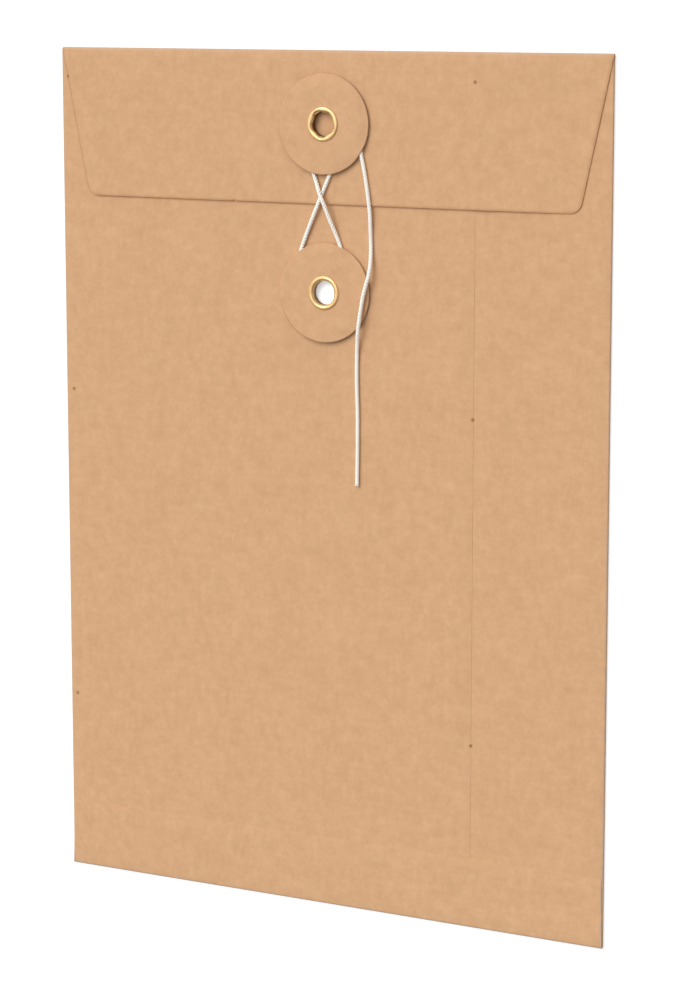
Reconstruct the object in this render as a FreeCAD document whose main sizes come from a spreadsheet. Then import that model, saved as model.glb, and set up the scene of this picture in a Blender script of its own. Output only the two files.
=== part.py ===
import FreeCAD, Part
import Sketcher
import math
import os

# A paper envelope held shut by a string wound round two card buttons, lying closed on its back.
# Millimetres. X runs across the envelope, Y up it towards the flap's fold, Z up off the table.
# The origin is the middle of the folded outline, on the face that the envelope lies on.

os.makedirs("parts", exist_ok=True)
doc = FreeCAD.newDocument("envelope")

# Driving sizes: name, value, what it measures
SIZES = [
    ("envelope_width", 162.0, "side fold to side fold"),
    ("envelope_height", 229.0, "bottom fold to the flap's fold"),
    ("paper", 0.2, "thickness of the sheet"),
    ("seam_place", 43.2, "cut edge of the wide front panel, from the middle"),
    ("glue_lap", 12.0, "how far the wide panel laps over the narrow one"),
    ("throat_drop", 2.0, "top of the front panels, below the flap's fold"),
    ("pocket_room", 0.1, "free height under the clinched eyelet in the pocket"),
    ("flap_room", 0.1, "free height under the clinched eyelet of the flap"),
    ("flap_depth", 40.0, "flap, fold to cut edge"),
    ("flap_step", 0.6, "flap at its fold, in from each side fold"),
    ("flap_lean", 8.0, "how far each side of the flap comes in by its edge"),
    ("flap_corner", 3.5, "rounding of the flap's corners"),
    ("bottom_flap_depth", 18.5, "bottom flap, fold to cut edge"),
    ("bottom_step", 0.6, "bottom flap, in from each side fold"),
    ("bottom_lean", 0.4, "how far each side of the bottom flap comes in by its edge"),
    ("button_side", 0.3, "centre line of the buttons, from the middle"),
    ("flap_button_drop", 18.9, "flap button, below the flap's fold"),
    ("button_spacing", 43.8, "button to button"),
    ("disc_radius", 13.0, "card disc"),
    ("card", 0.4, "thickness of a disc"),
    ("disc_edge_round", 0.1, "rounding of a disc's rim"),
    ("barrel_radius", 3.05, "outside of an eyelet's barrel"),
    ("barrel_wall", 0.25, "wall of the barrel"),
    ("hole_room", 0.05, "hole round a barrel, larger by this"),
    ("flange_radius", 4.5, "rim of an eyelet's flange"),
    ("flange_rise", 0.4, "height of the flange over the disc"),
    ("clinch_radius", 4.2, "rim of the clinched end"),
    ("clinch_drop", 0.3, "depth of the clinched end under the paper"),
    ("string_thickness", 0.95, "diameter of the string"),
    ("string_room", 0.025, "free height over and under the string beneath a disc"),
]

sheet = doc.addObject("Spreadsheet::Sheet", "Sizes")
for row, (alias, value, note) in enumerate(SIZES, start=1):
    sheet.set(f"A{row}", alias)
    sheet.set(f"B{row}", str(value))
    sheet.set(f"C{row}", note)
    sheet.setAlias(f"B{row}", alias)
doc.recompute()


class Length:
    """A length known both as an expression on the sheet and as a number."""

    def __init__(self, text, value):
        self.text = text
        self.value = value

    def join(self, sign, other, value):
        return Length(f"({self.text} {sign} {other.text})", value)

    def __add__(self, other):
        return self.join("+", other, self.value + other.value)

    def __sub__(self, other):
        return self.join("-", other, self.value - other.value)

    def __mul__(self, other):
        return self.join("*", other, self.value * other.value)

    def __truediv__(self, other):
        return self.join("/", other, self.value / other.value)

    def __neg__(self):
        return Length(f"(0 - {self.text})", -self.value)


def size(alias):
    return Length(f"Sizes.{alias}", float(sheet.get(alias)))


ZERO = Length("0", 0.0)
TWO = Length("2", 2.0)
# Two lengths closer than this are taken as equal when an edge is picked
PICK_SLACK = 0.001

# Levels of the folded sheet, bottom to top: back panel, pocket, narrow panel, wide panel, flap
paper = size("paper")
half_width = size("envelope_width") / TWO
half_height = size("envelope_height") / TWO
pocket_gap = size("clinch_drop") + size("pocket_room")
narrow_under = paper + pocket_gap
narrow_top = narrow_under + paper
wide_top = narrow_top + paper
flap_under = wide_top + size("clinch_drop") + size("flap_room")
flap_top = flap_under + paper
bottom_flap_top = wide_top + paper

# Each fold is half a round, as high as the layers that it turns about
wide_fold = wide_top / TWO
narrow_fold = narrow_top / TWO
flap_fold = flap_top / TWO
bottom_fold = bottom_flap_top / TWO

# Buttons: each disc stands off the paper by the string that is wound under it
stand_off = size("string_thickness") + size("string_room") * TWO
flap_button_y = half_height - size("flap_button_drop")
pocket_button_y = flap_button_y - size("button_spacing")
barrel_inside = size("barrel_radius") - size("barrel_wall")
hole_radius = size("barrel_radius") + size("hole_room")


def new_body(label):
    body = doc.addObject("PartDesign::Body", label)
    body.Label = label
    return body


def new_sketch(body, role, name, lift=ZERO):
    """A sketch on one of the body's own planes, moved along the plane's normal by lift."""
    plane = [item for item in body.Origin.OriginFeatures if item.Role == role][0]
    sketch = body.newObject("Sketcher::SketchObject", name)
    sketch.AttachmentSupport = [(plane, "")]
    sketch.MapMode = "FlatFace"
    sketch.setExpression("AttachmentOffset.Base.z", lift.text)
    return sketch


def hold(sketch, axis, item, point, length):
    """Fix one coordinate of a sketch point to a length on the sheet."""
    if length.text == ZERO.text:
        across = -2 if axis == "X" else -1
        sketch.addConstraint(Sketcher.Constraint("PointOnObject", item, point, across))
        return
    index = sketch.addConstraint(Sketcher.Constraint("Distance" + axis, item, point, length.value))
    sketch.setExpression(f"Constraints[{index}]", length.text)


def outline(sketch, corners):
    """A closed outline through the corners. A corner with a bend starts an arc to the next one.

    A bend is (centre across, centre up, turns left, which centre coordinate is fixed).
    """
    up = FreeCAD.Vector(0, 0, 1)
    edges = []
    for index, (across, along, bend) in enumerate(corners):
        next_across, next_along, _ = corners[(index + 1) % len(corners)]
        start = FreeCAD.Vector(across.value, along.value, 0)
        end = FreeCAD.Vector(next_across.value, next_along.value, 0)
        if bend is None:
            item = sketch.addGeometry(Part.LineSegment(start, end))
            edges.append((item, 1, 2))
            continue
        centre_across, centre_along, turns_left, fixed = bend
        centre = FreeCAD.Vector(centre_across.value, centre_along.value, 0)
        first, last = (start, end) if turns_left else (end, start)
        first_angle = math.atan2(first.y - centre.y, first.x - centre.x)
        last_angle = math.atan2(last.y - centre.y, last.x - centre.x)
        if last_angle <= first_angle:
            last_angle += 2 * math.pi
        circle = Part.Circle(centre, up, first.distanceToPoint(centre))
        item = sketch.addGeometry(Part.ArcOfCircle(circle, first_angle, last_angle))
        edges.append((item, 1, 2) if turns_left else (item, 2, 1))
        hold(sketch, fixed, item, 3, centre_across if fixed == "X" else centre_along)
    for index, (item, start_point, end_point) in enumerate(edges):
        next_item, next_start, _ = edges[(index + 1) % len(edges)]
        sketch.addConstraint(Sketcher.Constraint("Coincident", item, end_point, next_item, next_start))
        hold(sketch, "X", item, start_point, corners[index][0])
        hold(sketch, "Y", item, start_point, corners[index][1])


def disc_outline(sketch, across, along, radius):
    """A circle with its centre and radius tied to the sheet."""
    centre = FreeCAD.Vector(across.value, along.value, 0)
    item = sketch.addGeometry(Part.Circle(centre, FreeCAD.Vector(0, 0, 1), radius.value))
    hold(sketch, "X", item, 3, across)
    hold(sketch, "Y", item, 3, along)
    index = sketch.addConstraint(Sketcher.Constraint("Radius", item, radius.value))
    sketch.setExpression(f"Constraints[{index}]", radius.text)


def extrude(body, kind, name, sketch, length, symmetric=False):
    """A Pad or a Pocket of a sketch, its length tied to the sheet."""
    feature = body.newObject(f"PartDesign::{kind}", name)
    feature.Profile = sketch
    feature.setExpression("Length", length.text)
    if symmetric:
        feature.SideType = "Symmetric"
    doc.recompute()
    return feature


def round_edges(body, name, feature, picks, radius):
    """A Fillet on the feature's edges that picks chooses."""
    names = [f"Edge{index}" for index, edge in enumerate(feature.Shape.Edges, start=1) if picks(edge)]
    fillet = body.newObject("PartDesign::Fillet", name)
    fillet.Base = (feature, names)
    fillet.setExpression("Radius", radius.text)
    doc.recompute()
    return fillet


def put(thing, across, along, height):
    """Place a body by lengths on the sheet."""
    thing.setExpression("Placement.Base.x", across.text)
    thing.setExpression("Placement.Base.y", along.text)
    thing.setExpression("Placement.Base.z", height.text)


def make_envelope_sheet():
    """One sheet of paper: back, two side folds, two front panels glued at the seam, two flaps."""
    body = new_body("envelope_sheet")
    throat = half_height - size("throat_drop")
    bottom_line = bottom_fold - half_height
    flap_line = half_height - flap_fold
    left = wide_fold - half_width
    right = half_width - narrow_fold
    seam = size("seam_place")
    lap_end = seam - size("glue_lap")

    # Sleeve: back and front panels in one ring, with the seam's step outside and the lap's inside
    section = new_sketch(body, "XZ_Plane", "SleeveSection", -throat)
    outline(section, [
        (left, ZERO, None),
        (right, ZERO, (right, narrow_fold, True, "X")),
        (right, narrow_top, None),
        (seam, narrow_top, None),
        (seam, wide_top, None),
        (left, wide_top, (left, wide_fold, True, "X")),
    ])
    outline(section, [
        (left, paper, None),
        (right, paper, (right, narrow_fold, True, "X")),
        (right, narrow_under, None),
        (lap_end, narrow_under, None),
        (lap_end, narrow_top, None),
        (left, narrow_top, (left, wide_fold, True, "X")),
    ])
    extrude(body, "Pad", "Sleeve", section, throat - bottom_line)

    # Flap's fold, with the strip of back panel that rises above the pocket's mouth
    fold_half = half_width - size("flap_step")
    section = new_sketch(body, "YZ_Plane", "FlapFoldSection")
    outline(section, [
        (throat, ZERO, None),
        (flap_line, ZERO, (flap_line, flap_fold, True, "X")),
        (flap_line, flap_top, None),
        (flap_line, flap_under, (flap_line, flap_fold, False, "X")),
        (flap_line, paper, None),
        (throat, paper, None),
    ])
    extrude(body, "Pad", "FlapFold", section, fold_half * TWO, symmetric=True)

    # Flap: slanted sides and two rounded corners
    flap_edge = half_height - size("flap_depth")
    flap_half = fold_half - size("flap_lean")
    blank = new_sketch(body, "XY_Plane", "FlapBlank", flap_under)
    outline(blank, [
        (-fold_half, flap_line, None),
        (-flap_half, flap_edge, None),
        (flap_half, flap_edge, None),
        (fold_half, flap_line, None),
    ])
    flap = extrude(body, "Pad", "Flap", blank, paper)

    def flap_corner(edge):
        box = edge.BoundBox
        upright = max(box.XLength, box.YLength) < PICK_SLACK < box.ZLength
        return upright and abs(box.YMin - flap_edge.value) < PICK_SLACK and box.ZMin > wide_top.value
    round_edges(body, "FlapCorners", flap, flap_corner, size("flap_corner"))

    # Bottom fold, and the bottom flap glued down over both front panels and the seam's end
    bottom_half = half_width - size("bottom_step")
    section = new_sketch(body, "YZ_Plane", "BottomFoldSection")
    outline(section, [
        (bottom_line, ZERO, (bottom_line, bottom_fold, False, "X")),
        (bottom_line, bottom_flap_top, None),
        (bottom_line, wide_top, (bottom_line, bottom_fold, True, "X")),
        (bottom_line, paper, None),
    ])
    extrude(body, "Pad", "BottomFold", section, bottom_half * TWO, symmetric=True)
    bottom_edge = size("bottom_flap_depth") - half_height
    bottom_edge_half = bottom_half - size("bottom_lean")
    blank = new_sketch(body, "XY_Plane", "BottomFlapBlank", narrow_top)
    outline(blank, [
        (-bottom_half, bottom_line, None),
        (bottom_half, bottom_line, None),
        (bottom_edge_half, bottom_edge, None),
        (-bottom_edge_half, bottom_edge, None),
    ])
    extrude(body, "Pad", "BottomFlap", blank, bottom_flap_top - narrow_top)

    # Eyelet holes, through the flap and through the wide front panel only
    hole = new_sketch(body, "XY_Plane", "FlapHole", flap_top)
    disc_outline(hole, size("button_side"), flap_button_y, hole_radius)
    extrude(body, "Pocket", "FlapEyeletHole", hole, paper + size("flap_room"))
    hole = new_sketch(body, "XY_Plane", "PocketHole", wide_top)
    disc_outline(hole, size("button_side"), pocket_button_y, hole_radius)
    extrude(body, "Pocket", "PocketEyeletHole", hole, paper + size("pocket_room"))
    return body


def make_disc(label, along, paper_level):
    """A punched card disc, held off the paper by the string beneath it."""
    body = new_body(label)
    rings = new_sketch(body, "XY_Plane", label + "_outline")
    disc_outline(rings, ZERO, ZERO, size("disc_radius"))
    disc_outline(rings, ZERO, ZERO, hole_radius)
    card = extrude(body, "Pad", label + "_card", rings, size("card"))
    rim_radius = size("disc_radius").value

    def rim(edge):
        return isinstance(edge.Curve, Part.Circle) and abs(edge.Curve.Radius - rim_radius) < PICK_SLACK
    round_edges(body, label + "_rim", card, rim, size("disc_edge_round"))
    put(body, size("button_side"), along, paper_level + stand_off)
    return body


def arch_centre(inner, outer, rise):
    """Height of the centre of the arc that stands on inner to outer and rises by rise."""
    half_span = (outer - inner) / TWO
    return (rise * rise - half_span * half_span) / (rise * TWO)


def make_eyelet(label, along, paper_level):
    """A brass eyelet: domed flange on the disc, barrel, and an end clinched under the paper."""
    body = new_body(label)
    grip = size("card") + stand_off + paper
    flange = size("flange_radius")
    clinch = size("clinch_radius")
    barrel = size("barrel_radius")
    flange_middle = (barrel_inside + flange) / TWO
    clinch_middle = (barrel_inside + clinch) / TWO
    flange_centre = arch_centre(barrel_inside, flange, size("flange_rise"))
    clinch_centre = -grip - arch_centre(barrel_inside, clinch, size("clinch_drop"))
    profile = new_sketch(body, "XZ_Plane", label + "_profile")
    outline(profile, [
        (barrel_inside, ZERO, None),
        (barrel_inside, -grip, (clinch_middle, clinch_centre, True, "Y")),
        (clinch, -grip, None),
        (barrel, -grip, None),
        (barrel, ZERO, None),
        (flange, ZERO, (flange_middle, flange_centre, True, "Y")),
    ])
    turned = body.newObject("PartDesign::Revolution", label + "_turned")
    turned.Profile = profile
    turned.ReferenceAxis = (profile, ["V_Axis"])
    turned.Angle = 360
    put(body, size("button_side"), along, paper_level + stand_off + size("card"))
    doc.recompute()
    return body


# Route of the string, chosen by hand: across, up the envelope, height
STRING_ROUTE = [
    # trapped end beside the flap's eyelet, and its turn round the barrel under the disc
    (-2.6, 92.9, 2.1), (-3.9, 96.0, 2.1), (-2.9, 99.4, 2.1), (0.5, 100.9, 2.1), (4.1, 99.6, 2.1),
    (6.1, 96.0, 2.1),
    # lower strand, down to the left, over the flap's edge to the pocket's button
    (4.8, 89.9, 2.1), (1.7, 82.5, 2.1), (-2.2, 73.9, 2.17), (-6.5, 64.9, 1.5),
    # slack loop round the pocket's eyelet, under the disc
    (-8.3, 58.6, 1.5), (-7.8, 51.9, 1.5), (-4.1, 46.6, 1.5), (2.1, 45.6, 1.5), (7.3, 49.5, 1.5),
    (7.5, 56.5, 1.5),
    # upper strand, up to the left, in a low hump over the lower one
    (5.3, 62.9, 1.5), (4.0, 66.2, 1.5), (2.2, 70.8, 2.7), (0.6, 74.9, 3.18), (-0.9, 78.2, 3.18),
    (-2.1, 80.9, 2.1),
    # slack loop round the flap's eyelet, outside the first turn
    (-4.8, 87.9, 2.1), (-6.7, 94.2, 2.1), (-6.1, 100.4, 2.1), (-2.0, 105.0, 2.1), (4.0, 105.5, 2.1),
    (8.8, 101.9, 2.1), (10.6, 96.2, 2.1), (10.6, 90.2, 2.1),
    # free end: down the flap and the pocket, over the rim of the pocket's disc, to the cut end
    (12.1, 83.0, 2.1), (13.4, 73.7, 2.18), (13.4, 68.4, 1.5), (13.6, 63.2, 1.5), (13.8, 57.9, 2.93),
    (12.0, 52.5, 2.93), (11.0, 47.5, 2.93), (10.1, 42.1, 2.97), (9.4, 37.3, 1.5), (9.2, 28.9, 1.5),
    (9.7, 18.3, 1.5), (9.5, 1.5, 1.5),
]
# Share of the shorter run that each bend of the tube takes up
BEND_SHARE = 0.45


def tube_path(points):
    """Straight runs joined by tangent arcs, each as large as its two runs allow."""
    edges = []
    radii = []
    last = points[0]
    for before, corner, after in zip(points, points[1:], points[2:]):
        back = before - corner
        ahead = after - corner
        reach = BEND_SHARE * min(back.Length, ahead.Length)
        back.normalize()
        ahead.normalize()
        half_turn = (math.pi - back.getAngle(ahead)) / 2
        radius = reach / math.tan(half_turn)
        inward = back + ahead
        inward.normalize()
        centre = corner + inward * (radius / math.cos(half_turn))
        middle = centre - inward * radius
        start = corner + back * reach
        end = corner + ahead * reach
        edges.append(Part.LineSegment(last, start).toShape())
        edges.append(Part.Arc(start, middle, end).toShape())
        radii.append(radius)
        last = end
    edges.append(Part.LineSegment(last, points[-1]).toShape())
    return Part.Wire(edges), radii


def make_string():
    """The string as a plain round tube along its route."""
    radius = float(sheet.get("string_thickness")) / 2
    points = [FreeCAD.Vector(*point) for point in STRING_ROUTE]
    path, radii = tube_path(points)
    ring = Part.Circle(points[0], points[1] - points[0], radius)
    tube = path.makePipeShell([Part.Wire(ring.toShape())], True, False)
    string = doc.addObject("Part::Feature", "string")
    string.Label = "string"
    string.Shape = tube
    string.Placement = FreeCAD.Placement()
    print("string bend radii, mm:", " ".join(f"{value:.1f}" for value in radii))
    print(f"string length {path.Length:.1f} mm, smallest radius {min(radii):.2f} mm")
    print(f"string volume {tube.Volume:.3f}, section times length {math.pi * radius ** 2 * path.Length:.3f}")
    return string


pieces = [
    make_envelope_sheet(),
    make_disc("flap_button_disc", flap_button_y, flap_top),
    make_disc("pocket_button_disc", pocket_button_y, wide_top),
    make_eyelet("flap_button_eyelet", flap_button_y, flap_top),
    make_eyelet("pocket_button_eyelet", pocket_button_y, wide_top),
    make_string(),
]
doc.recompute()

for item in doc.Objects:
    if "Invalid" in item.State or "Error" in item.State:
        raise RuntimeError(f"{item.Name} failed: {item.State}")
for piece in pieces:
    if piece.Shape.isNull() or not piece.Shape.isValid() or len(piece.Shape.Solids) != 1:
        raise RuntimeError(f"{piece.Label} is not one valid solid")
for piece in pieces:
    box = piece.Shape.BoundBox
    piece.Shape.exportStep(f"parts/{piece.Label}.step")
    print(f"{piece.Label}: volume {piece.Shape.Volume:.2f} mm3, x {box.XMin:.2f} to {box.XMax:.2f}, "
          f"y {box.YMin:.2f} to {box.YMax:.2f}, z {box.ZMin:.2f} to {box.ZMax:.2f}")
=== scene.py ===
# %% [markdown]
# A kraft paper envelope with a string tie, lying closed on its back.
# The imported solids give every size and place. This script dresses them: the sheet is cut flat, creased
# and folded again from a fine mesh, the card buttons and brass eyelets are turned, the string is laid
# from three plies, and every surface gets a finish made of nodes. Lengths are metres.

# %% Load the solids
import math

import bmesh
import bpy
from mathutils import Matrix, Vector, noise


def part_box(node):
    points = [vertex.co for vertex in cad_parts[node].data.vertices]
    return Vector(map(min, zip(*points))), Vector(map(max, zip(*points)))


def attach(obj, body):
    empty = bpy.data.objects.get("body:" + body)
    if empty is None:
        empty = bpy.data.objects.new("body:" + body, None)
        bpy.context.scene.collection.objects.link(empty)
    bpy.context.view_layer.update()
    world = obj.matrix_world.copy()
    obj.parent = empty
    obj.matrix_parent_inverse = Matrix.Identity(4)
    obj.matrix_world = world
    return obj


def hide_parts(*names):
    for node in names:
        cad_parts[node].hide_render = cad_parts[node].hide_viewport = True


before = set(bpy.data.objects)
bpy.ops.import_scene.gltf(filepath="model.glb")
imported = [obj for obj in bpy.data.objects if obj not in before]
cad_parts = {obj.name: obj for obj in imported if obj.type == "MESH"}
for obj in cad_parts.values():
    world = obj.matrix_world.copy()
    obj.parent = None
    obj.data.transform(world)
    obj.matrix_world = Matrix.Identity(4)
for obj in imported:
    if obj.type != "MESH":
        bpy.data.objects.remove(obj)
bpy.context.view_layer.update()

MM = 0.001
scene = bpy.context.scene
scene.view_settings.view_transform = "Standard"
print("solids:", ", ".join(sorted(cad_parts)))

# %% [markdown]
# The camera comes first, because everything else is judged through it. Its place and tilt were worked
# out from the four corners of the envelope, which is a rectangle of known shape: it looks down on the
# sheet at about 60 degrees, from the right. Three directions say this more plainly than three angles.

# %% Camera
CAMERA_PLACE = Vector((361.55, 130.81, 672.22)) * MM
CAMERA_RIGHT = Vector((0.882775, 0.000695, -0.469796))
CAMERA_UP = Vector((-0.082011, 0.984872, -0.152647))
CAMERA_LENS = 105.19
SENSOR = 36.0


def make_camera():
    """The camera at the photograph's place, upright side along the sheet."""
    lens = bpy.data.cameras.new("photo_view")
    lens.lens = CAMERA_LENS
    lens.sensor_width = SENSOR
    camera = bpy.data.objects.new("photo_view", lens)
    backward = CAMERA_RIGHT.cross(CAMERA_UP)
    turn = Matrix((CAMERA_RIGHT, CAMERA_UP, backward)).transposed().to_4x4()
    camera.matrix_world = Matrix.Translation(CAMERA_PLACE) @ turn
    scene.collection.objects.link(camera)
    scene.camera = camera
    return camera


camera = make_camera()
print("camera", round(camera.location.length, 3), "m from the middle of the envelope")

# %% [markdown]
# The string is a limp cotton cord. Its route is a short list of points in millimetres: a turn and a
# slack loop under the upper button, one loop under the lower one, two strands that cross between them,
# and a free end that lies down the front. A NURBS curve of order 3 rounds the route into one smooth
# line, and the rest of the string follows points that are read back from that line.

# %% Route of the string
STRING_ROUTE = [
    # trapped end and first turn round the flap's eyelet
    (-2.8, 92.8, 2.1), (-4.4, 96.0, 2.1), (-3.1, 99.7, 2.1), (0.5, 101.1, 2.1), (4.1, 99.6, 2.1),
    (6.1, 96.0, 2.1),
    # lower strand
    (4.9, 89.9, 2.1), (1.95, 82.5, 2.1), (-2.0, 73.9, 2.17), (-6.15, 64.9, 1.5),
    # loop round the pocket's eyelet
    (-8.3, 58.6, 1.5), (-7.8, 51.9, 1.5), (-4.1, 46.6, 1.5), (2.1, 45.6, 1.5), (7.3, 49.5, 1.5),
    (7.5, 56.5, 1.5),
    # upper strand, in a low hump over the lower one
    (5.2, 62.9, 1.5), (3.95, 66.2, 1.5), (2.3, 70.8, 2.7), (0.75, 74.9, 3.18), (-0.75, 78.2, 3.18),
    (-2.05, 80.9, 2.1),
    # loop round the flap's eyelet
    (-4.8, 87.9, 2.1), (-6.7, 94.2, 2.1), (-6.1, 100.4, 2.1), (-2.0, 105.0, 2.1), (4.0, 105.5, 2.1),
    (8.8, 101.9, 2.1), (10.6, 96.2, 2.1), (10.6, 90.2, 2.1),
    # free end, over the rim of the lower button
    (12.3, 83.0, 2.1), (13.75, 73.7, 2.18), (13.6, 68.4, 1.5), (13.8, 63.2, 1.5), (14.15, 57.9, 2.93),
    (12.3, 52.5, 2.93), (11.4, 47.5, 2.93), (10.6, 42.1, 2.97), (9.7, 37.3, 1.5), (9.6, 28.9, 1.5),
    (10.05, 18.3, 1.5), (9.8, 1.5, 1.5),
]


def smooth_line(route):
    """Points along the smooth line that the route's control points pull out."""
    curve = bpy.data.curves.new("route", "CURVE")
    curve.dimensions = "3D"
    curve.resolution_u = 16
    spline = curve.splines.new("NURBS")
    spline.points.add(len(route) - 1)
    for point, place in zip(spline.points, route):
        point.co = (*(Vector(place) * MM), 1.0)
    spline.order_u = 3
    spline.use_endpoint_u = True
    carrier = bpy.data.objects.new("route", curve)
    scene.collection.objects.link(carrier)
    mesh = bpy.data.meshes.new_from_object(carrier)
    line = [vertex.co.copy() for vertex in mesh.vertices]
    bpy.data.objects.remove(carrier)
    bpy.data.meshes.remove(mesh)
    return line


def even_steps(line, step):
    """The same line with its points a step apart."""
    points = [line[0]]
    ahead = step
    for start, end in zip(line, line[1:]):
        span = (end - start).length
        while ahead <= span:
            points.append(start.lerp(end, ahead / span))
            ahead += step
        ahead -= span
    points.append(line[-1])
    return points


string_line = smooth_line(STRING_ROUTE)
line_length = sum((b - a).length for a, b in zip(string_line, string_line[1:]))
print(f"string's smooth line: {len(string_line)} points, {line_length / MM:.1f} mm")

# %% [markdown]
# A close look at such a string shows plies twisted round each other. Each ply is a thin curve with a
# round bevel, wound about the smooth line. The direction sideways from the line is carried along from
# point to point by the smallest turn, so that the twist stays even through the loops. At the cut end
# the plies open a little.

# %% Lay the plies
PLIES = 3
PLY_RADIUS = 0.295 * MM
PLY_OFFSET = 0.255 * MM
TWIST_PITCH = 2.6 * MM
PLY_STEP = 0.22 * MM
FRAY_LENGTH = 1.2 * MM
FRAY_SPREAD = 0.07 * MM


def lay_ply(points, number):
    """One ply as a bevelled curve, made a mesh."""
    curve = bpy.data.curves.new("ply", "CURVE")
    curve.dimensions = "3D"
    curve.bevel_depth = PLY_RADIUS
    curve.bevel_resolution = 2
    curve.use_fill_caps = True
    spline = curve.splines.new("POLY")
    spline.points.add(len(points) - 1)
    along = (points[1] - points[0]).normalized()
    sideways = along.orthogonal().normalized()
    for index, place in enumerate(points):
        heading = (points[min(index + 1, len(points) - 1)] - points[max(index - 1, 0)]).normalized()
        sideways.rotate(along.rotation_difference(heading))
        sideways = (sideways - heading * sideways.dot(heading)).normalized()
        along = heading
        turn = 2 * math.pi * (index * PLY_STEP / TWIST_PITCH + number / PLIES)
        left = (len(points) - 1 - index) * PLY_STEP
        spread = FRAY_SPREAD * max(0.0, 1 - left / FRAY_LENGTH) ** 2
        offset = sideways * math.cos(turn) + heading.cross(sideways) * math.sin(turn)
        spline.points[index].co = (*(place + offset * (PLY_OFFSET + spread)), 1.0)
    carrier = bpy.data.objects.new("ply", curve)
    scene.collection.objects.link(carrier)
    mesh = bpy.data.meshes.new_from_object(carrier)
    bpy.data.objects.remove(carrier)
    return mesh


def new_piece(name, mesh, node):
    """A finished piece that stands for a solid and moves with it."""
    piece = bpy.data.objects.new(name, mesh)
    scene.collection.objects.link(piece)
    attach(piece, "root")
    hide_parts(node)
    print(f"{name}: {len(mesh.vertices)} points, {len(mesh.polygons)} faces")
    return piece


def make_string():
    """Three plies in one mesh."""
    points = even_steps(string_line, PLY_STEP)
    joined = bmesh.new()
    for number in range(PLIES):
        ply = lay_ply(points, number)
        joined.from_mesh(ply)
        bpy.data.meshes.remove(ply)
    for face in joined.faces:
        face.smooth = True
    mesh = bpy.data.meshes.new("tie_string")
    joined.to_mesh(mesh)
    joined.free()
    return new_piece("tie_string", mesh, "string")


tie_string = make_string()

# %% [markdown]
# The envelope is one sheet of paper, so it is made the way a paper maker makes it: a flat blank is cut,
# creased and folded. First the sizes. The outline comes from the solid, and the levels of the layers,
# the seam and the flap's shape are the ones that the solid was drawn with. Each fold is half a round,
# and the length of paper that it takes up is pi times its radius.

# %% Sizes of the blank
sheet_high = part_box("envelope_sheet")[1]
HALF_WIDTH = sheet_high.x
HALF_HEIGHT = sheet_high.y
PAPER = 0.2 * MM
NARROW_TOP = 0.8 * MM
WIDE_TOP = 1.0 * MM
BOTTOM_FLAP_TOP = 1.2 * MM
FLAP_TOP = sheet_high.z
SEAM = 43.2 * MM
LAP_END = SEAM - 12 * MM
THROAT = HALF_HEIGHT - 1.2 * MM
FLAP_EDGE = HALF_HEIGHT - 39.6 * MM
FLAP_LEFT = 0.6 * MM - HALF_WIDTH
FLAP_RIGHT = HALF_WIDTH - 0.05 * MM
FLAP_EDGE_LEFT = FLAP_LEFT + 8.0 * MM
FLAP_EDGE_RIGHT = FLAP_RIGHT - 8.7 * MM
FLAP_CORNER = 3.5 * MM
BOTTOM_EDGE = 18.5 * MM - HALF_HEIGHT
BOTTOM_HALF = HALF_WIDTH - 0.15 * MM
BOTTOM_EDGE_HALF = BOTTOM_HALF - 0.4 * MM


class Fold:
    """A fold: the line where it starts, the radius of the paper's middle, and the paper it takes up."""

    def __init__(self, top, edge, side):
        self.radius = (top - PAPER) / 2
        self.line = side * (edge - top / 2)
        self.side = side
        self.end = self.line + side * math.pi * self.radius

    def roll(self, place):
        """Where a place on the flat blank comes to lie: along the sheet, and up."""
        past = self.side * (place - self.line)
        if past <= 0:
            return place, 0.0
        turn = min(past / self.radius, math.pi)
        back = past - turn * self.radius
        along = self.radius * math.sin(turn) - back
        return self.line + self.side * along, self.radius * (1 - math.cos(turn))

    def flat(self, place):
        """The place on the blank that lies at this place once it is folded over."""
        return self.end + (self.line - place)


left_fold = Fold(WIDE_TOP, HALF_WIDTH, -1)
right_fold = Fold(NARROW_TOP, HALF_WIDTH, 1)
top_fold = Fold(FLAP_TOP, HALF_HEIGHT, 1)
bottom_fold = Fold(BOTTOM_FLAP_TOP, HALF_HEIGHT, -1)
blank_left = left_fold.flat(SEAM)
blank_right = right_fold.flat(LAP_END)
blank_top = top_fold.flat(FLAP_EDGE)
blank_bottom = bottom_fold.flat(BOTTOM_EDGE)
print(f"blank {(blank_right - blank_left) / MM:.1f} by {(blank_top - blank_bottom) / MM:.1f} mm")

# %% [markdown]
# The blank starts as a grid whose rows and columns are moved to the places that matter: close together
# in the folds, and a few millimetres apart on the flat. What lies outside the blank's cross shape is
# then deleted. A grid that follows the folds bends cleanly, which an even one would not.

# %% Grid of the blank
GRID_STEP = 3.6 * MM
FOLD_STEPS = 10
TRIM = 1.6 * MM
NICK_PLACE = -30 * MM
NICK_WIDTH = 0.5 * MM


def spread(places):
    """Lines through the given places, with more between them where they lie far apart."""
    lines = [places[0]]
    for start, end in zip(places, places[1:]):
        count = max(1, math.ceil((end - start) / GRID_STEP))
        lines += [start + (end - start) * number / count for number in range(1, count + 1)]
    return lines


def fold_lines(fold):
    """Lines through a fold, evenly round its bend."""
    bend = fold.end - fold.line
    return sorted(fold.line + bend * number / FOLD_STEPS for number in range(FOLD_STEPS + 1))


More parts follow.
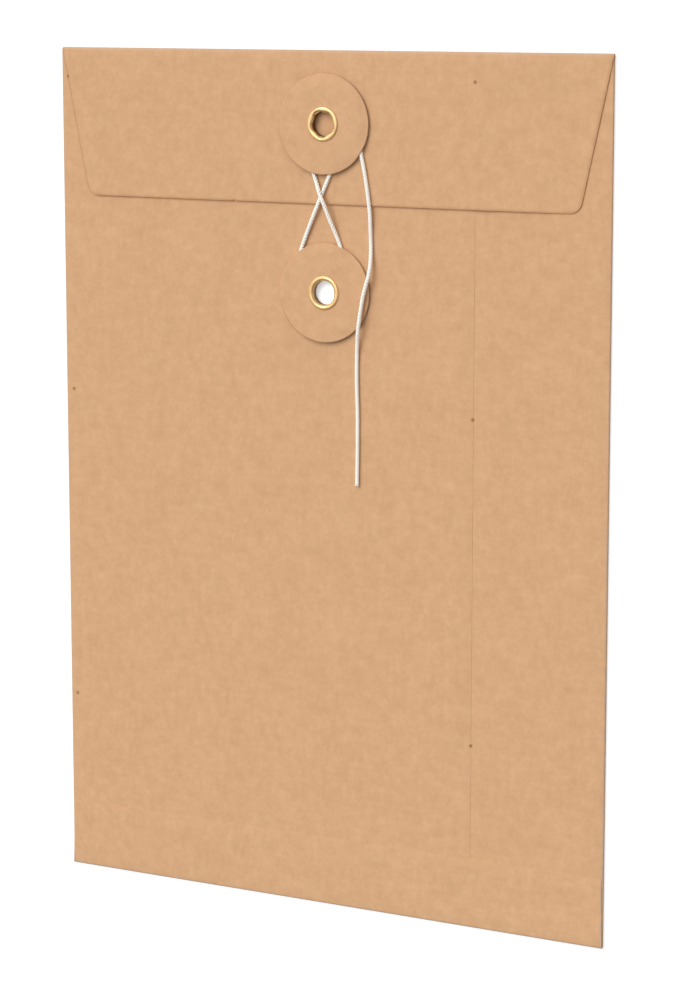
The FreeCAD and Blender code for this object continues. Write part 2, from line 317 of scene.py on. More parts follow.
def new_blank():
    """The grid of the blank, flat, with its columns and rows at the chosen lines."""
    nick = [NICK_PLACE - NICK_WIDTH, NICK_PLACE, NICK_PLACE + NICK_WIDTH]
    sides = [FLAP_LEFT, FLAP_LEFT + TRIM, FLAP_RIGHT - TRIM, FLAP_RIGHT]
    columns = spread(sorted([blank_left, blank_left + TRIM, *fold_lines(left_fold), *sides, *nick, 0.0,
                             *fold_lines(right_fold), blank_right]))
    rows = spread([blank_bottom, blank_bottom + TRIM, *fold_lines(bottom_fold), THROAT,
                   *fold_lines(top_fold), blank_top - TRIM, blank_top])
    mesh = bmesh.new()
    bmesh.ops.create_grid(mesh, x_segments=len(columns) - 1, y_segments=len(rows) - 1, size=0.5)
    for vertex in mesh.verts:
        vertex.co.x = columns[round((vertex.co.x + 0.5) * (len(columns) - 1))]
        vertex.co.y = rows[round((vertex.co.y + 0.5) * (len(rows) - 1))]
    return mesh


def outside(face):
    """Whether a face of the grid lies off the blank's cross shape."""
    middle = face.calc_center_median()
    if middle.y > THROAT:
        return not FLAP_LEFT < middle.x < FLAP_RIGHT
    return middle.y < bottom_fold.line and abs(middle.x) > BOTTOM_HALF


blank = new_blank()
bmesh.ops.delete(blank, geom=[face for face in blank.faces if outside(face)], context="FACES")
print("faces in the blank's cross:", len(blank.faces))

# %% [markdown]
# A die cuts the flaps next. Their sides are drawn in towards the free edge, and the top flap's corners
# are rounded by a fan of straight cuts, as a file would round them. The points along the cut edges carry
# two weights: the glued edges are crushed thin by the gluing roller, and along the flaps' free cut edges
# and side edges a weight paints shade into the paper's colour, a dark line where their shadows fall.

# %% Cut the flaps
CORNER_CUTS = 9
SHADE_SIDE_BAND = 2.2 * MM
CRUSHED = 0.3
NICK_DEPTH = 0.35 * MM


def taper(mesh, fold, side, full, edge_full, edge):
    """Draw one side of a flap in towards its cut edge."""
    for vertex in mesh.verts:
        share = (vertex.co.y - fold.end) / (edge - fold.end)
        if share > 0 and vertex.co.x * side > 0:
            vertex.co.x *= 1 + (edge_full / full - 1) * share


def round_corner(mesh, side, full, edge_full):
    """Cut a corner of the flap along tangents to its rounding."""
    lean = math.atan2(abs(full - edge_full), blank_top - top_fold.end)
    swing = math.pi / 2 - lean
    middle_out = abs(edge_full) - FLAP_CORNER * (1 / math.cos(lean) - math.tan(lean))
    middle = Vector((side * middle_out, blank_top - FLAP_CORNER, 0))
    for cut in range(1, CORNER_CUTS):
        angle = lean + swing * cut / CORNER_CUTS
        away = Vector((side * math.cos(angle), math.sin(angle), 0))
        near = [face for face in mesh.faces
                if (face.calc_center_median() - middle).length < 3 * FLAP_CORNER]
        around = {item for face in near for item in (face, *face.edges, *face.verts)}
        bmesh.ops.bisect_plane(mesh, geom=list(around), plane_co=middle + away * FLAP_CORNER,
                               plane_no=away, clear_outer=True)


def nick_edge(mesh):
    """A small nick in the flap's cut edge."""
    for vertex in mesh.verts:
        if abs(vertex.co.y - blank_top) < MM / 10 and abs(vertex.co.x - NICK_PLACE) < NICK_WIDTH / 2:
            vertex.co.y -= NICK_DEPTH


def mark_sides(mesh):
    """Painted-shade weights that grow towards the side edges of both flaps, while these are still
    straight.
    """
    trimmed = mesh.verts.layers.float.new("trimmed")
    for vertex in mesh.verts:
        if vertex.co.y > THROAT or bottom_fold.end < vertex.co.y < bottom_fold.line:
            vertex[trimmed] = max(0.0, 1 - (HALF_WIDTH - abs(vertex.co.x)) / SHADE_SIDE_BAND)


def mark_cuts(mesh):
    """Full painted-shade weights on the free cut edges, none on glued ones, and how much of the paper's
    thickness is left there.
    """
    trimmed = mesh.verts.layers.float["trimmed"]
    thickness = mesh.verts.layers.deform.verify()
    for vertex in mesh.verts:
        glued = vertex.co.y < bottom_fold.end or vertex.co.x < blank_left + TRIM / 2
        if vertex.is_boundary:
            vertex[trimmed] = float(not glued)
        vertex[thickness][0] = CRUSHED if vertex.is_boundary and glued else 1.0


mark_sides(blank)
nick_edge(blank)
for side, full, edge_full in ((-1, FLAP_LEFT, FLAP_EDGE_LEFT), (1, FLAP_RIGHT, FLAP_EDGE_RIGHT)):
    taper(blank, top_fold, side, full, edge_full, blank_top)
    taper(blank, bottom_fold, side, BOTTOM_HALF, BOTTOM_EDGE_HALF, blank_bottom)
    round_corner(blank, side, full, edge_full)
mark_cuts(blank)
print("faces with cut flaps:", len(blank.faces))

# %% [markdown]
# Both eyelets go through a round hole. A few grid faces round the hole's place are dissolved into one,
# its outline is divided and inset, the inner ring is moved onto a circle, and the face inside it is
# deleted. The blank's own coordinates are kept as a UV map before anything is folded, so that the
# fibres of the paper follow the sheet round its folds.

# %% Punch the holes and keep the flat coordinates
HOLE_RADIUS = 3.25 * MM
HOLE_PATCH = 5.6 * MM
HOLE_INSET = 0.1 * MM
PATTERN_UNIT = 100 * MM
flap_disc_low, flap_disc_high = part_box("flap_button_disc")
pocket_disc_low, pocket_disc_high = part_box("pocket_button_disc")
flap_button = (flap_disc_low + flap_disc_high) / 2
pocket_button = (pocket_disc_low + pocket_disc_high) / 2


def punch(mesh, across, along):
    """A round hole in the flat blank."""
    middle = Vector((across, along, 0))
    patch = [face for face in mesh.faces if (face.calc_center_median() - middle).length < HOLE_PATCH]
    whole = bmesh.ops.dissolve_faces(mesh, faces=patch)["region"][0]
    bmesh.ops.subdivide_edges(mesh, edges=list(whole.edges), cuts=2)
    bmesh.ops.inset_individual(mesh, faces=[whole], thickness=HOLE_INSET)
    for vertex in whole.verts:
        vertex.co = middle + (vertex.co - middle).normalized() * HOLE_RADIUS
    bmesh.ops.delete(mesh, geom=[whole], context="FACES_ONLY")


def keep_flat_coordinates(mesh):
    """A UV map that is the blank itself, one unit for each 100 mm."""
    layer = mesh.loops.layers.uv.new("paper")
    for face in mesh.faces:
        for loop in face.loops:
            loop[layer].uv = loop.vert.co.xy / PATTERN_UNIT


punch(blank, flap_button.x, top_fold.flat(flap_button.y))
punch(blank, left_fold.flat(pocket_button.x), pocket_button.y)
keep_flat_coordinates(blank)
print("faces round both holes too:", len(blank.faces))

# %% [markdown]
# Folding moves each point of the blank: round the side folds, then round the top or the bottom fold.
# Above the pocket's mouth the side folds fade out, because the strip that carries the flap is flat.
# Real paper is never quite flat, so the layers share a faint waviness that dies away at the buttons.
# The eyelet holds the flap's middle up, and to either side of it the flap sags, most on the right, where
# the fold is pinched flatter. The right side was folded a little askew, as its outline shows.

# %% Fold the blank
WAVE_HEIGHT = 0.16 * MM
WAVE_ACROSS = 62 * MM
WAVE_ALONG = 84 * MM
CALM_ACROSS = 24 * MM
CALM_LOW = -6 * MM
CALM_EASE = 30 * MM
FLAP_SAG = 0.04 * MM
SIDE_SAG = 0.22 * MM
SIDE_SAG_START = 60 * MM
SAG_EASE = 10 * MM
ASKEW_TOP = -0.45 * MM
ASKEW_BOTTOM = 0.33 * MM
SETTLE = WIDE_TOP - NARROW_TOP
SETTLE_START = SEAM + 0.5 * MM
SETTLE_END = SEAM + 11 * MM
PRESS_END = 7 * MM


def ease(value):
    """A smooth step from 0 to 1."""
    value = min(max(value, 0.0), 1.0)
    return value * value * (3 - 2 * value)


def beside_buttons(across):
    """0 in the strip that holds the buttons, 1 well to either side of it."""
    return ease((abs(across) - CALM_ACROSS) / CALM_EASE)


def waviness(across, along):
    """How far the stack of layers lifts at a place."""
    wave = noise.noise(Vector((across / WAVE_ACROSS, along / WAVE_ALONG, 0.37)))
    aside = beside_buttons(across)
    below = ease((CALM_LOW - along) / CALM_EASE)
    return WAVE_HEIGHT * (0.5 + 0.5 * wave) * max(aside, below)


def folded(flat, crushed):
    """Where a point of the flat blank lies once folded. crushed is the thickness that it has lost."""
    side_fold = left_fold if flat.x < 0 else right_fold
    across, lift = side_fold.roll(flat.x)
    hold = 1 - ease((flat.y - THROAT) / (top_fold.line - THROAT))
    across = flat.x + (across - flat.x) * hold
    height = PAPER / 2 + lift * hold
    along = flat.y
    settled = SETTLE * ease((flat.x - SETTLE_START) / (SETTLE_END - SETTLE_START))
    if flat.y > top_fold.line:
        along, lift = top_fold.roll(flat.y)
        pinched = ease((flat.x - SIDE_SAG_START) / SAG_EASE)
        sag = FLAP_SAG * beside_buttons(flat.x) + settled + SIDE_SAG * pinched
        sag *= pinched + (1 - pinched) * ease((flat.y - top_fold.end) / SAG_EASE)
        height += lift - sag * lift / (2 * top_fold.radius)
    elif flat.y < bottom_fold.line:
        along, lift = bottom_fold.roll(flat.y)
        height += lift - settled * ease((bottom_fold.end - flat.y) / PRESS_END)
    height += waviness(across, along) - crushed / 2
    askew = ASKEW_BOTTOM + (ASKEW_TOP - ASKEW_BOTTOM) * (0.5 + 0.5 * along / HALF_HEIGHT)
    across += askew * max(0.0, across / HALF_WIDTH) ** 3
    return Vector((across, along, height))


bmesh.ops.reverse_faces(blank, faces=list(blank.faces))
thickness_left = blank.verts.layers.deform.active
for vertex in blank.verts:
    lost = 1 - vertex[thickness_left].get(0, 1.0)
    vertex.co = folded(vertex.co, PAPER * lost)
print("folded sheet's top:", round(max(vertex.co.z for vertex in blank.verts) / MM, 2), "mm")

# %% [markdown]
# A Solidify modifier gives the folded surface its thickness, half to each side. Its material offsets
# put the white face inside and the cut edge on the rim. The result is made a plain mesh, and edges
# sharper than a limit are marked sharp, so that cut edges stay crisp while folds stay round.

# %% Give the sheet its thickness
SHARP_ANGLE = math.radians(38)


def mark_sharp(mesh):
    """Smooth faces, with a sharp edge wherever two of them meet at a clear angle."""
    for face in mesh.faces:
        face.smooth = True
    for edge in mesh.edges:
        edge.smooth = not (len(edge.link_faces) == 2 and edge.calc_face_angle() > SHARP_ANGLE)


def make_sheet():
    """The folded sheet: kraft outside, white inside, cut edges between."""
    surface = bpy.data.meshes.new("paper_surface")
    blank.to_mesh(surface)
    blank.free()
    carrier = bpy.data.objects.new("paper_surface", surface)
    scene.collection.objects.link(carrier)
    carrier.vertex_groups.new(name="thickness_left")
    for _ in range(3):
        surface.materials.append(None)
    thick = carrier.modifiers.new("thickness", "SOLIDIFY")
    thick.thickness = PAPER
    thick.offset = 0.0
    thick.use_even_offset = True
    thick.vertex_group = "thickness_left"
    thick.material_offset = 1
    thick.material_offset_rim = 2
    graph = bpy.context.evaluated_depsgraph_get()
    mesh = bpy.data.meshes.new_from_object(carrier.evaluated_get(graph))
    mesh.name = "folded_sheet"
    bpy.data.objects.remove(carrier)
    shell = bmesh.new()
    shell.from_mesh(mesh)
    mark_sharp(shell)
    shell.to_mesh(mesh)
    shell.free()
    return new_piece("folded_sheet", mesh, "envelope_sheet")


folded_sheet = make_sheet()

# %% [markdown]
# The buttons and eyelets are round, so each is a profile that is spun about its axis, as on a lathe. A
# profile is a short list of corners, radius and height, and arcs are worked out. A thickened circle
# would be quicker, but it has no rolled flange and no rounded rim.

# %% Turn a profile
SPIN_STEPS = 128
SAME_PLACE = MM / 10000


def turned(profile):
    """A closed profile of (radius, height) spun about the vertical axis."""
    mesh = bmesh.new()
    ring = [mesh.verts.new((radius, 0, height)) for radius, height in profile]
    edges = [mesh.edges.new((start, end)) for start, end in zip(ring, ring[1:] + ring[:1])]
    bmesh.ops.spin(mesh, geom=ring + edges, cent=(0, 0, 0), axis=(0, 0, 1), angle=2 * math.pi,
                   steps=SPIN_STEPS, use_merge=True)
    bmesh.ops.remove_doubles(mesh, verts=list(mesh.verts), dist=SAME_PLACE)
    bmesh.ops.recalc_face_normals(mesh, faces=list(mesh.faces))
    return mesh


def arc(middle, radius, start, end, steps):
    """Points of a profile along an arc, from one angle to another in degrees."""
    angles = [math.radians(start + (end - start) * step / steps) for step in range(steps + 1)]
    return [(middle[0] + radius * math.cos(angle), middle[1] + radius * math.sin(angle))
            for angle in angles]


def finish_turned(mesh, name, place, node, materials):
    """Move a turned piece to its place and hand it over as a piece."""
    bmesh.ops.translate(mesh, vec=place, verts=list(mesh.verts))
    mark_sharp(mesh)
    data = bpy.data.meshes.new(name)
    mesh.to_mesh(data)
    mesh.free()
    for _ in range(materials):
        data.materials.append(None)
    return new_piece(name, data, node)


print("a turned piece has", SPIN_STEPS, "steps round its axis")

# %% [markdown]
# The card button has a die-cut rim, rounded on top where the punch went in and with a small burr below.
# It is never quite flat: it dips where the eyelet's flange presses it, its rim is bent down on the right
# wherever no strand passes under it, and its lower left curls up, where shade is also painted on the
# rim.
# The bends are one height that is added to the turned shape, so the card keeps its thickness.

# %% Card buttons
DISC_RINGS = [radius * MM for radius in (4.6, 5.8, 7.2, 9.0, 10.0, 11.0, 11.7, 12.3)]
DISC_RADIUS = 13.0 * MM
RIM_ROUND = 0.12 * MM
BURR = 0.04 * MM
DIP = 0.05 * MM
DIP_RADIUS = 6.5 * MM
BEND = 0.52 * MM
BEND_TOWARDS = math.radians(25)
BEND_START = 10.2 * MM
STRAND_ROOM = math.radians(17)
CURL = 0.25 * MM
CURL_TOWARDS = math.radians(232)
disc_thickness = flap_disc_high.z - flap_disc_low.z


def curled_up(place):
    """1 where the rim curls up most, and 0 from a quarter turn away."""
    return max(0.0, math.cos(math.atan2(place.y, place.x) - CURL_TOWARDS))


def bent(place, strands):
    """How far the card button's used shape is off flat at a place. strands are angles in degrees."""
    radius = place.xy.length
    angle = math.atan2(place.y, place.x)
    dip = DIP * (1 - ease((radius - HOLE_RADIUS) / (DIP_RADIUS - HOLE_RADIUS)))
    nearest = min(abs(math.remainder(angle - math.radians(strand), 2 * math.pi)) for strand in strands)
    bend = BEND * ease(0.5 + 0.5 * math.cos(angle - BEND_TOWARDS)) * ease(nearest / STRAND_ROOM)
    bend *= ease((radius - BEND_START) / (DISC_RADIUS - BEND_START))
    curl = CURL * curled_up(place) ** 2 * ease(radius / DISC_RADIUS)
    return curl - dip - bend


def make_button(name, node, turn, strands):
    """A die-cut card button in its solid's place, its cut rim in a material of its own."""
    low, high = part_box(node)
    top = disc_thickness
    across = (HOLE_RADIUS, *DISC_RINGS)
    flat = [(radius, top) for radius in across]
    rim = arc((DISC_RADIUS - RIM_ROUND, top - RIM_ROUND), RIM_ROUND, 90, 0, 4)
    under = [(DISC_RADIUS, BURR), (DISC_RADIUS - BURR, 0.0), (DISC_RADIUS - 3 * BURR, BURR / 2)]
    back = [(radius, BURR / 2) for radius in reversed(across)]
    mesh = turned(flat + rim + under + back)
    layer = mesh.loops.layers.uv.new("paper")
    spun = Matrix.Rotation(turn, 2)
    for face in mesh.faces:
        upright = abs(face.normal.z) < 0.5
        face.material_index = 1 if upright else 0
        for loop in face.loops:
            loop[layer].uv = spun @ loop.vert.co.xy / PATTERN_UNIT + Vector((turn, turn))
    trimmed = mesh.verts.layers.float.new("trimmed")
    for vertex in mesh.verts:
        # Painted shade: the edge-shade weight darkens the rim's lower left, where it curls up.
        on_rim = vertex.co.xy.length > DISC_RADIUS - 1.5 * RIM_ROUND
        vertex[trimmed] = curled_up(vertex.co) if on_rim else 0.0
        vertex.co.z += bent(vertex.co, strands)
    middle = (low + high) / 2
    return finish_turned(mesh, name, Vector((middle.x, middle.y, low.z)), node, 2)


flap_card = make_button("flap_card_button", "flap_button_disc", 0.7, (-34, -84, -104))
pocket_card = make_button("pocket_card_button", "pocket_button_disc", 2.1, (69, 124))

# %% [markdown]
# Each eyelet is a thin brass tube that flares into a rolled flange above and a rolled end below. The two
# were set by hand: the upper one came out nearly five-sided and the lower one nearly round. A few sine
# waves round the ring, strongest at the inner edge and gone at the flange's rim, do this.

# %% Brass eyelets
BORE = 3.12 * MM
BARREL = 3.22 * MM
FLANGE = 4.5 * MM
CLINCH = 4.2 * MM
CLINCH_DROP = 0.3 * MM
RIM_CURL = 0.12 * MM
FLANGE_CREST = 3.85 * MM
FLARE = 0.45 * MM
CLINCH_CREST = 3.6 * MM
ROLL_STEPS = 8
WALL_STEPS = 6


def rolled(inner, crest, outer, foot, rise, flare):
    """Points over a rolled edge: up the flare from the bore, over the crest, down to its outer foot."""
    points = []
    for step in range(2 * ROLL_STEPS + 1):
        angle = math.pi - math.pi / 2 * step / ROLL_STEPS
        reach, drop = (crest - inner, flare) if step < ROLL_STEPS else (outer - crest, 0.0)
        points.append((crest + reach * math.cos(angle), foot - drop + (rise + drop) * math.sin(angle)))
    return points


def make_eyelet(name, node, disc_node, lobes):
    """An eyelet in its solid's place. lobes: how many, how deep in mm, and where in degrees."""
    low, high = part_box(node)
    flange_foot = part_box(disc_node)[1].z - low.z
    clinch_foot = CLINCH_DROP
    top = rolled(BORE, FLANGE_CREST, FLANGE, flange_foot, high.z - low.z - flange_foot, FLARE)
    outside_wall = [(FLANGE - RIM_CURL, flange_foot), (BARREL, flange_foot),
                    (BARREL, clinch_foot), (CLINCH - RIM_CURL, clinch_foot)]
    bottom = list(reversed(rolled(BORE, CLINCH_CREST, CLINCH, clinch_foot, -CLINCH_DROP, 0.0)))
    wall_height = flange_foot - FLARE - clinch_foot
    inner_wall = [(BORE, clinch_foot + wall_height * step / WALL_STEPS) for step in range(1, WALL_STEPS)]
    mesh = turned(top + outside_wall + bottom + inner_wall)
    # Painted shade: below the flange's flare, the bore and the rolled end are weighted to be painted
    # dark.
    dull = mesh.verts.layers.float.new("dull")
    for vertex in mesh.verts:
        vertex[dull] = 1 - ease((vertex.co.z - flange_foot + FLARE) / FLARE)
        radius = vertex.co.xy.length
        angle = math.atan2(vertex.co.y, vertex.co.x)
        inward = ease((FLANGE - radius) / (FLANGE - BORE))
        upward = ease((vertex.co.z - clinch_foot) / (flange_foot - clinch_foot))
        wander = sum(depth * math.cos(count * (angle - math.radians(start)))
                     for count, depth, start in lobes)
        scale = 1 + wander * MM * inward * upward / radius
        vertex.co.x *= scale
        vertex.co.y *= scale
    middle = (low + high) / 2
    return finish_turned(mesh, name, Vector((middle.x, middle.y, low.z)), node, 1)


flap_eyelet = make_eyelet("flap_brass_eyelet", "flap_button_eyelet", "flap_button_disc",
                          [(5, 0.19, 50), (2, 0.07, 100), (3, 0.05, 350)])
pocket_eyelet = make_eyelet("pocket_brass_eyelet", "pocket_button_eyelet", "pocket_button_disc",
                            [(4, 0.05, 45), (2, 0.05, 80), (3, 0.03, 200)])

# %% [markdown]
# Finishes are node trees. A small helper adds a node, sets its plain inputs and wires the others, so
# that each material reads as a list of what lies on what. The sky is made with the same helper.

# %% Node helpers
def new_material(name):
    """An empty material with its output and its main shader."""
    material = bpy.data.materials.new(name)
    material.use_nodes = True
    material.node_tree.nodes.clear()
    output = add(material, "ShaderNodeOutputMaterial")
    shader = add(material, "ShaderNodeBsdfPrincipled")
    material.node_tree.links.new(shader.outputs[0], output.inputs["Surface"])
    return material, shader


def add(material, kind, settings=None, **inputs):
    """A node with its settings and inputs. An input that is a socket is wired, any other is set."""
    node = material.node_tree.nodes.new(kind)
    for key, value in (settings or {}).items():
        setattr(node, key, value)
    for key, value in inputs.items():
        connect(material, node, key.replace("_", " "), value)
    return node


def connect(material, node, key, value):
    """Wire or set one input. A key that ends in a digit counts the inputs instead of naming one."""
    socket = node.inputs[int(key[1:])] if key[0] == "i" and key[1:].isdigit() else node.inputs[key]
    if isinstance(value, bpy.types.NodeSocket):
        material.node_tree.links.new(value, socket)
    else:
        socket.default_value = value


def math_node(material, operation, first, second=0.0):
    """One sum on two values."""
    return add(material, "ShaderNodeMath", {"operation": operation}, i0=first, i1=second).outputs[0]


def mix_colour(material, share, below, above):
    """One colour laid over another."""
    node = add(material, "ShaderNodeMix", {"data_type": "RGBA"}, i0=share, i6=below, i7=above)
    return node.outputs[2]


def ramp(material, value, low, high):
    """A value brought from low..high to 0..1, and held there."""
    node = add(material, "ShaderNodeMapRange", {"interpolation_type": "SMOOTHSTEP"},
               Value=value, From_Min=low, From_Max=high)
    return node.outputs[0]


def noise_at(material, place, scale, stretch=(1, 1, 1), turn=0.0, detail=3.0):
    """Noise on a place that is turned and then squeezed. A texture mapping divides by its scale."""
    node = add(material, "ShaderNodeMapping", {"vector_type": "TEXTURE"}, Vector=place,
               Scale=[1 / squeeze for squeeze in stretch], Rotation=(0, 0, turn))
    return add(material, "ShaderNodeTexNoise", Vector=node.outputs[0], Scale=scale,
               Detail=detail).outputs["Fac"]


def stored(material, name):
    """A value that was stored on the mesh's points."""
    return add(material, "ShaderNodeAttribute", {"attribute_name": name}).outputs["Fac"]


def on_paper(material):
    """The coordinates of the flat paper."""
    return add(material, "ShaderNodeUVMap", {"uv_map": "paper"}).outputs[0]


def on_object(material):
    """The coordinates of the shared frame, in metres."""
    return add(material, "ShaderNodeTexCoord").outputs["Object"]


def add_bump(material, shader, height, strength, depth):
    """A fine relief under the light, from a height."""
    bump = add(material, "ShaderNodeBump", Strength=strength, Distance=depth, Height=height)
    connect(material, shader, "Normal", bump.outputs[0])


def add_roughness(material, shader, value, low, high):
    """A roughness between two levels, from a value."""
    rough = add(material, "ShaderNodeMapRange", Value=value, To_Min=low, To_Max=high)
    connect(material, shader, "Roughness", rough.outputs[0])


print("node helpers are ready")

# %% [markdown]
# Kraft paper is brown fibre pressed flat. From a step away it is nearly one colour, with a faint
# cloudiness and fine streaks both along and across the sheet. Close by it shows single fibres, some
# lighter and some darker than the rest. The pattern is laid out on the flat blank's coordinates, whose
# unit is 100 mm, so a scale of 100 is one cycle for each millimetre.

# %% Kraft paper
KRAFT_DARK = (0.490, 0.266, 0.128, 1)
KRAFT_LIGHT = (0.752, 0.463, 0.263, 1)
FIBRE_DARK = (0.36, 0.18, 0.08, 1)
FIBRE_LIGHT = (0.82, 0.59, 0.39, 1)
FIBRE_TURNS = (0.35, 1.25, 2.3)
FIBRE_SCALE = 95
FIBRE_STRETCH = (1, 7, 1)
FIBRE_SOFTNESS = 0.06
DARK_FIBRES = (1.3, 0.70, 0.22)
PALE_FIBRES = (5.1, 0.69, 0.18)
PALE_TURN = 0.5
KRAFT_ROUGHNESS = (0.78, 0.92)
EDGE_SHADE_DARKENING = 0.42
KRAFT_LAYERS = [
    # cycles in 100 mm, stretch across and along, share of the tone
    (7, (1, 1, 1), 0.19),
    (24, (1, 1, 1), 0.29),
    (46, (1, 0.45, 1), 0.32),
    (44, (0.5, 1, 1), 0.29),
    (80, (1, 1, 1), 0.28),
    (190, (1, 1, 1), 0.14),
]


def fibres(material, place, number, turn, kind):
    """Short thin lines one way: noise stretched hard, cut off near its top. kind is seed, cut, share."""
    seed, cut, share = kind
    seed += number
    shifted = add(material, "ShaderNodeMapping", Vector=place, Location=(seed, seed * 0.7, 0)).outputs[0]
    lines = noise_at(material, shifted, FIBRE_SCALE, FIBRE_STRETCH, turn, 1.0)
    return ramp(material, lines, cut, cut + FIBRE_SOFTNESS), share


def kraft(name):
    """Brown kraft on the coordinates of the paper map."""
    material, shader = new_material(name)
    place = on_paper(material)
    tone = 0.5
    for scale, stretch, share in KRAFT_LAYERS:
        layer = noise_at(material, place, scale, stretch)
        part = math_node(material, "MULTIPLY", math_node(material, "SUBTRACT", layer, 0.5), share)
        tone = math_node(material, "ADD", tone, part)
    # Painted shade: the edge-shade weight darkens the tone along the flaps' edges and the card's rim.
    trimmed = ramp(material, stored(material, "trimmed"), 0.5, 1.0)
    tone = math_node(material, "SUBTRACT", tone, math_node(material, "MULTIPLY", trimmed, EDGE_SHADE_DARKENING))
    colour = mix_colour(material, tone, KRAFT_DARK, KRAFT_LIGHT)
    relief = layer
    for number, turn in enumerate(FIBRE_TURNS):
        dark, share = fibres(material, place, number, turn, DARK_FIBRES)
        colour = mix_colour(material, math_node(material, "MULTIPLY", dark, share), colour, FIBRE_DARK)
        pale, share = fibres(material, place, number, turn + PALE_TURN, PALE_FIBRES)
        colour = mix_colour(material, math_node(material, "MULTIPLY", pale, share), colour, FIBRE_LIGHT)
        relief = math_node(material, "ADD", relief, math_node(material, "MULTIPLY", pale, 0.5))
    add_bump(material, shader, relief, 0.35, 0.03 * MM)
    add_roughness(material, shader, layer, *KRAFT_ROUGHNESS)
    shader.inputs["Specular IOR Level"].default_value = 0.25
    return material, shader, colour


# %% [markdown]
# The sheet's kraft has two more things on it: the small brown marks that the folding machine's feed
# left at regular steps beside the seam and the left fold, and a patchy grey darkening along the folds of
# the outline. Marks are found by their distance seen from above, and only on the layers that lie above
# the pocket, so they don't show on the back.

# %% Marks and grey folds on the sheet
MARKS = [(43.2, 107.0), (-78.8, 106.7), (43.0, 21.1), (43.2, -65.1), (-78.6, 21.4), (-78.9, -64.8)]
MARK_LEVEL = 0.7 * MM
MARK_RADIUS = 0.7 * MM
MARK_COLOUR = (0.22, 0.10, 0.04, 1)
FOLD_GREY = (0.49, 0.345, 0.24, 1)
FOLD_GREY_WIDTH = 0.85 * MM
MARK_SHARE = 0.75
FOLD_GREY_SHARE = 0.9
FOLD_GREY_PATCHES = 700


def finish_sheet(material, shader, colour):
    """Lay the marks and a patchy grey darkening along the folds over plain kraft."""
    place = on_object(material)
    from_above = add(material, "ShaderNodeVectorMath", {"operation": "MULTIPLY"}, i0=place, i1=(1, 1, 0))
    parts = add(material, "ShaderNodeSeparateXYZ", Vector=place).outputs
    on_front = math_node(material, "GREATER_THAN", parts["Z"], MARK_LEVEL)
    for across, along in MARKS:
        away = add(material, "ShaderNodeVectorMath", {"operation": "DISTANCE"}, i0=from_above.outputs[0],
                   i1=(across * MM, along * MM, 0)).outputs["Value"]
        spot = ramp(material, away, MARK_RADIUS, MARK_RADIUS * 0.3)
        spot = math_node(material, "MULTIPLY", on_front, spot)
        spot = math_node(material, "MULTIPLY", spot, MARK_SHARE)
        colour = mix_colour(material, spot, colour, MARK_COLOUR)
    # A patchy grey darkening along the outline's folds.
    across = math_node(material, "ABSOLUTE", parts["X"])
    along = math_node(material, "ABSOLUTE", parts["Y"])
    side = ramp(material, across, HALF_WIDTH - FOLD_GREY_WIDTH, HALF_WIDTH)
    end = ramp(material, along, HALF_HEIGHT - FOLD_GREY_WIDTH, HALF_HEIGHT)
    edge = math_node(material, "MAXIMUM", side, end)
    patchy = noise_at(material, place, FOLD_GREY_PATCHES)
    greyed = math_node(material, "MULTIPLY", edge, ramp(material, patchy, 0.25, 0.6))
    greyed = math_node(material, "MULTIPLY", greyed, FOLD_GREY_SHARE)
    colour = mix_colour(material, greyed, colour, FOLD_GREY)
    connect(material, shader, "Base Color", colour)


sheet_kraft, sheet_shader, sheet_colour = kraft("kraft_outside")
finish_sheet(sheet_kraft, sheet_shader, sheet_colour)
card_kraft, card_shader, card_colour = kraft("brown_card")
connect(card_kraft, card_shader, "Base Color", card_colour)
print("nodes in the sheet's kraft:", len(sheet_kraft.node_tree.nodes))

# %% [markdown]
# Inside, the sheet is lined white, as the lower eyelet's hole shows. A little emission paints a faint
# glow on it, so that the white stays bright in the shade of the hole. Along its cut edges the white face
# is painted dark brown as shade, where the open ends of the folds would show it. The cut edge itself
# shows the layers of fibre that the sheet was pressed from, and the card's rim is cut the same way.

# %% White inside, cut edges and the card's rim
WHITE_INSIDE = (0.96, 0.96, 0.95, 1)
WHITE_SHADE = (0.92, 0.92, 0.91, 1)
EDGE_PALE = (0.85, 0.61, 0.41, 1)
EDGE_DARK = (0.62, 0.38, 0.22, 1)
LINER_GRAIN = 220
EDGE_GRAIN = 2500
PAINTED_GLOW = 0.32


def soft_white():
    """The white inner face, painted dark brown as shade along its cut edges, with a painted glow."""
    material, shader = new_material("white_inside")
    grain = noise_at(material, on_paper(material), LINER_GRAIN, detail=4.0)
    white = mix_colour(material, grain, WHITE_INSIDE, WHITE_SHADE)
    # Painted shade: along the cut edges the white turns dark brown.
    trimmed = ramp(material, stored(material, "trimmed"), 0.0, 0.15)
    colour = mix_colour(material, trimmed, white, KRAFT_DARK)
    connect(material, shader, "Base Color", colour)
    # Painted glow: the white face emits a little light of its own colour.
    connect(material, shader, "Emission Color", colour)
    add_bump(material, shader, grain, 0.25, 0.02 * MM)
    shader.inputs["Roughness"].default_value = 0.8
    shader.inputs["Emission Strength"].default_value = PAINTED_GLOW
    return material


def cut_edge(name):
    """The cut edge of paper or card: thin layers of fibre, torn a little by the knife."""
    material, shader = new_material(name)
    layers = noise_at(material, on_object(material), EDGE_GRAIN, (0.12, 0.12, 1.6), detail=2.0)
    connect(material, shader, "Base Color", mix_colour(material, layers, EDGE_DARK, EDGE_PALE))
    add_bump(material, shader, layers, 0.4, 0.03 * MM)
    shader.inputs["Roughness"].default_value = 0.9
    return material


white_inside = soft_white()
paper_edge = cut_edge("paper_edge")
card_edge = cut_edge("card_edge")
for index, material in enumerate((sheet_kraft, white_inside, paper_edge)):
    folded_sheet.data.materials[index] = material
for button in (flap_card, pocket_card):
    button.data.materials[0] = card_kraft
    button.data.materials[1] = card_edge
print("faces of the sheet get:", ", ".join(material.name for material in folded_sheet.data.materials))
